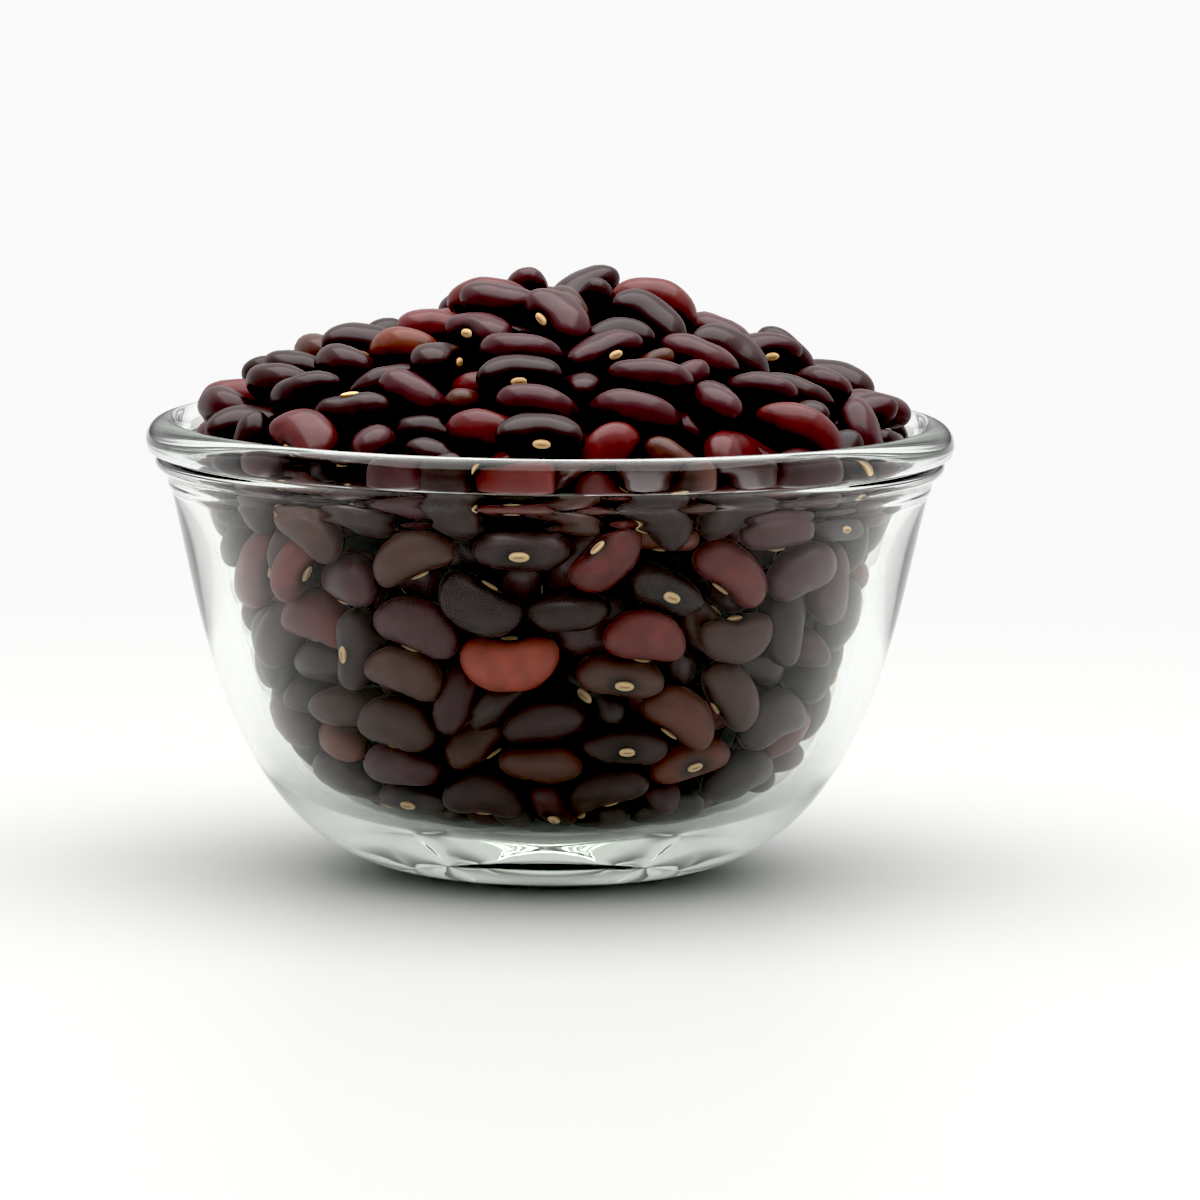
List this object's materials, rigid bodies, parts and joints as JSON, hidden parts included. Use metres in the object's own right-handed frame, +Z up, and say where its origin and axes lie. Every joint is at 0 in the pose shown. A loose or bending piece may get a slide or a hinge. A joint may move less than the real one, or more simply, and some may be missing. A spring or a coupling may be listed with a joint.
{
  "type": "bowl of dried beans",
  "caption": "Thick clear glass bowl with a rolled, ringed rim, heaped well above the rim with glossy dark red dried kidney beans.",
  "frame": {"origin": "middle of the bowl's foot, on the surface that it stands on", "axes": "+Z up along the bowl's axis; the side shown in the picture faces -Y, and +X is to its right"},
  "size_m": [0.15, 0.15, 0.1119],
  "materials": {
    "clear_glass": "clear, polished, faintly green in thick places",
    "bean_skin": "dark red-brown dried bean skin, satin gloss"
  },
  "bodies": {
    "root": {"glass_bowl": "clear_glass", "beans": "bean_skin"}
  },
  "joints": []
}
